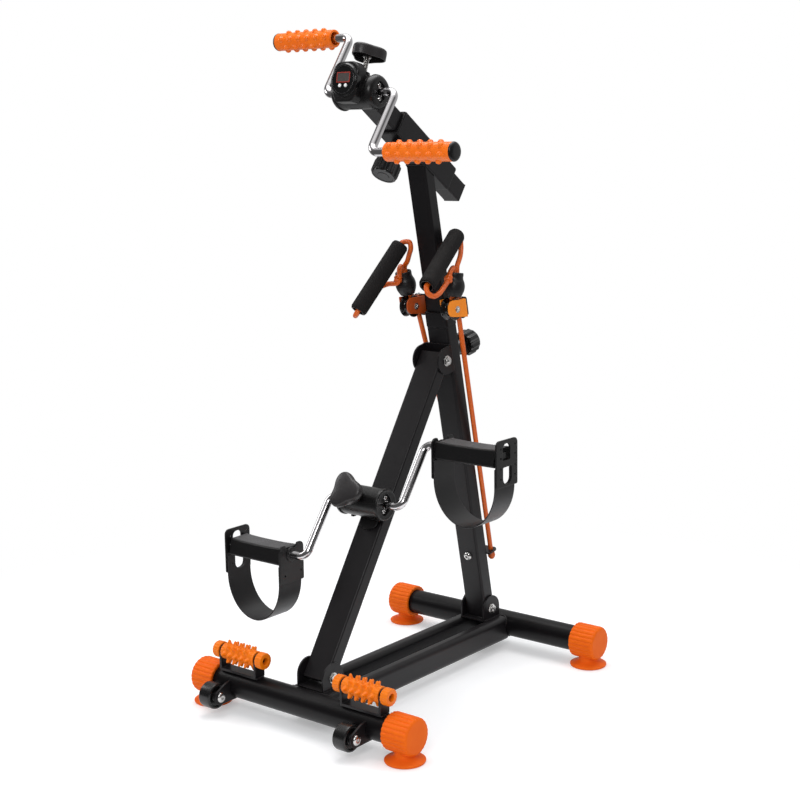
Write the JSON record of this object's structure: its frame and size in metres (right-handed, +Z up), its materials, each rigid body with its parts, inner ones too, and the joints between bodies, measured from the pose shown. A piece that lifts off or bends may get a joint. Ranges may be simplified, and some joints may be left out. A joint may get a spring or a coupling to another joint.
{
  "type": "rehabilitation exercise bike",
  "caption": "Folding rehabilitation bike on a black steel frame with foot pedals, hand crank, pull bands, orange massage rollers, suction feet and a display.",
  "frame": {"origin": "on the floor, under the middle of the whole outline", "axes": "+Z up, -Y towards the user, +X to the machine's right side seen by someone who faces +Y"},
  "size_m": [0.445, 0.5774, 1.0303],
  "materials": {
    "black_paint": "satin black powder coat",
    "orange_rubber": "matt orange rubber",
    "orange_plastic": "soft orange plastic",
    "orange_paint": "orange paint on pressed steel",
    "black_plastic": "fine-grained black plastic",
    "black_foam": "matt black foam and rubber",
    "white_plastic": "white plastic",
    "steel": "zinc-plated steel",
    "chrome": "polished chrome plate",
    "felt": "grey felt on a steel shoe"
  },
  "bodies": {
    "base": {"front_foot_tube": "black_paint", "rear_foot_tube": "black_paint", "foot_cap_front_left": "orange_rubber", "foot_cap_front_right": "orange_rubber", "foot_cap_rear_left": "orange_rubber", "foot_cap_rear_right": "orange_rubber", "rail_left": "black_paint", "rail_right": "black_paint", "strut_foot_bracket": "black_paint", "post_foot_bracket": "black_paint", "strut_foot_bolt": "steel", "post_foot_bolt": "steel", "roller_bracket_left": "black_paint", "roller_axle_left": "orange_plastic", "wheel_bracket_left": "black_paint", "roller_bracket_right": "black_paint", "roller_axle_right": "orange_plastic", "wheel_bracket_right": "black_paint"},
    "strut": {"strut": "black_paint", "foot_housing": "black_plastic", "foot_brake_shoe": "felt"},
    "post": {"lower_post": "black_paint", "hinge_bolt": "steel", "band_anchor": "black_paint", "pulley_yoke": "black_paint", "pulley_bracket_left": "orange_paint", "pulley_bracket_right": "orange_paint", "band_left": "orange_rubber", "band_right": "orange_rubber"},
    "upper_post": {"upper_post": "black_paint"},
    "arm": {"arm": "black_paint", "upper_housing": "black_plastic", "display_case": "black_plastic", "hand_brake_shoe": "felt"},
    "foot_crank": {"foot_crank": "chrome"},
    "hand_crank": {"hand_crank": "chrome"},
    "foot_tension_knob": {"foot_tension_knob": "black_plastic"},
    "hand_tension_knob": {"hand_tension_knob": "black_plastic"},
    "post_lock_knob": {"post_lock_knob": "black_plastic"},
    "sleeve_lock_knob": {"sleeve_lock_knob": "black_plastic"},
    "massage_roller_left": {"massage_roller_left": "orange_plastic"},
    "transport_wheel_left": {"transport_wheel_left": "black_plastic"},
    "pedal_left": {"pedal_left": "black_plastic", "pedal_strap_left": "black_plastic"},
    "grip_left": {"grip_left": "orange_plastic"},
    "pulley_left": {"pulley_left": "black_plastic"},
    "pull_left": {"stopper_left": "black_foam", "pull_loop_left": "orange_rubber", "handle_left": "black_foam"},
    "button_left": {"button_left": "white_plastic"},
    "massage_roller_right": {"massage_roller_right": "orange_plastic"},
    "transport_wheel_right": {"transport_wheel_right": "black_plastic"},
    "pedal_right": {"pedal_right": "black_plastic", "pedal_strap_right": "black_plastic"},
    "grip_right": {"grip_right": "orange_plastic"},
    "pulley_right": {"pulley_right": "black_plastic"},
    "pull_right": {"stopper_right": "black_foam", "pull_loop_right": "orange_rubber", "handle_right": "black_foam"},
    "button_right": {"button_right": "white_plastic"}
  },
  "joints": [
    {"name": "strut_fold", "type": "hinge", "parent": "base", "child": "strut", "pos_m": [0, -0.19025, 0.0743], "axis": [1, 0, 0], "range_deg": [0, 32.98]},
    {"name": "post_fold", "type": "hinge", "parent": "strut", "child": "post", "pos_m": [0, 0.09665, 0.5165], "axis": [-1, 0, 0], "range_deg": [0, 44.65]},
    {"name": "post_height", "type": "slide", "parent": "post", "child": "upper_post", "axis": [0, -0.2014, 0.9795], "range_m": [-0.05, 0.06]},
    {"name": "arm_reach", "type": "slide", "parent": "upper_post", "child": "arm", "axis": [0, 0.8171, -0.5764], "range_m": [-0.035, 0.05]},
    {"name": "foot_crank_turn", "type": "hinge", "parent": "strut", "child": "foot_crank", "pos_m": [0, -0.07802, 0.31893], "axis": [1, 0, 0], "continuous": true},
    {"name": "hand_crank_turn", "type": "hinge", "parent": "arm", "child": "hand_crank", "pos_m": [0, -0.07299, 0.93175], "axis": [1, 0, 0], "continuous": true},
    {"name": "foot_tension_knob_turn", "type": "hinge", "parent": "strut", "child": "foot_tension_knob", "pos_m": [0, -0.07802, 0.31893], "axis": [0, -0.866, 0.5], "range_deg": [0, 720]},
    {"name": "hand_tension_knob_turn", "type": "hinge", "parent": "arm", "child": "hand_tension_knob", "pos_m": [0, -0.07299, 0.93175], "axis": [0, 0.3173, 0.9483], "range_deg": [0, 720]},
    {"name": "post_lock_turn", "type": "hinge", "parent": "post", "child": "post_lock_knob", "pos_m": [0, 0.14108, 0.52462], "axis": [0, 0.9795, 0.2014], "range_deg": [0, 720]},
    {"name": "sleeve_lock_turn", "type": "hinge", "parent": "upper_post", "child": "sleeve_lock_knob", "pos_m": [0, 0.00993, 0.85673], "axis": [0, -0.5764, -0.8171], "range_deg": [0, 720]},
    {"name": "massage_roller_left_spin", "type": "hinge", "parent": "base", "child": "massage_roller_left", "pos_m": [-0.12275, -0.23265, 0.091], "axis": [1, 0, 0], "continuous": true},
    {"name": "transport_wheel_left_spin", "type": "hinge", "parent": "base", "child": "transport_wheel_left", "pos_m": [-0.1355, -0.26865, 0.031], "axis": [1, 0, 0], "continuous": true},
    {"name": "pedal_left_spin", "type": "hinge", "parent": "foot_crank", "child": "pedal_left", "pos_m": [-0.16, -0.14004, 0.23247], "axis": [1, 0, 0], "continuous": true},
    {"name": "grip_left_spin", "type": "hinge", "parent": "hand_crank", "child": "grip_left", "pos_m": [-0.099, -0.01331, 1.01642], "axis": [1, 0, 0], "continuous": true},
    {"name": "pull_left_slide", "type": "slide", "parent": "post", "child": "pull_left", "axis": [0, -0.9848, 0.1736], "range_m": [0, 0.25], "stiffness_N_per_m": 40, "springref_m": -0.05, "deforming": ["band_left"]},
    {"name": "pulley_left_spin", "type": "hinge", "parent": "post", "child": "pulley_left", "pos_m": [-0.041, 0.08992, 0.60087], "axis": [1, 0, 0], "continuous": true},
    {"name": "button_left_press", "type": "slide", "parent": "arm", "child": "button_left", "axis": [0, 0.9848, -0.1736], "range_m": [0, 0.001], "stiffness_N_per_m": 500, "springref_m": -0.0005},
    {"name": "massage_roller_right_spin", "type": "hinge", "parent": "base", "child": "massage_roller_right", "pos_m": [0.12275, -0.23265, 0.091], "axis": [1, 0, 0], "continuous": true},
    {"name": "transport_wheel_right_spin", "type": "hinge", "parent": "base", "child": "transport_wheel_right", "pos_m": [0.1355, -0.26865, 0.031], "axis": [1, 0, 0], "continuous": true},
    {"name": "pedal_right_spin", "type": "hinge", "parent": "foot_crank", "child": "pedal_right", "pos_m": [0.16, -0.01601, 0.40539], "axis": [1, 0, 0], "continuous": true},
    {"name": "grip_right_spin", "type": "hinge", "parent": "hand_crank", "child": "grip_right", "pos_m": [0.099, -0.13268, 0.84707], "axis": [1, 0, 0], "continuous": true},
    {"name": "pull_right_slide", "type": "slide", "parent": "post", "child": "pull_right", "axis": [0, -0.9848, 0.1736], "range_m": [0, 0.25], "stiffness_N_per_m": 40, "springref_m": -0.05, "deforming": ["band_right"]},
    {"name": "pulley_right_spin", "type": "hinge", "parent": "post", "child": "pulley_right", "pos_m": [0.041, 0.08992, 0.60087], "axis": [1, 0, 0], "continuous": true},
    {"name": "button_right_press", "type": "slide", "parent": "arm", "child": "button_right", "axis": [0, 0.9848, -0.1736], "range_m": [0, 0.001], "stiffness_N_per_m": 500, "springref_m": -0.0005}
  ],
  "couplings": [
    {"joint": "post_fold", "follows": "strut_fold", "ratio": 1.3524},
    {"joint": "pulley_left_spin", "follows": "pull_left_slide", "rad_per_m": 64.516},
    {"joint": "pulley_right_spin", "follows": "pull_right_slide", "rad_per_m": 64.516}
  ]
}
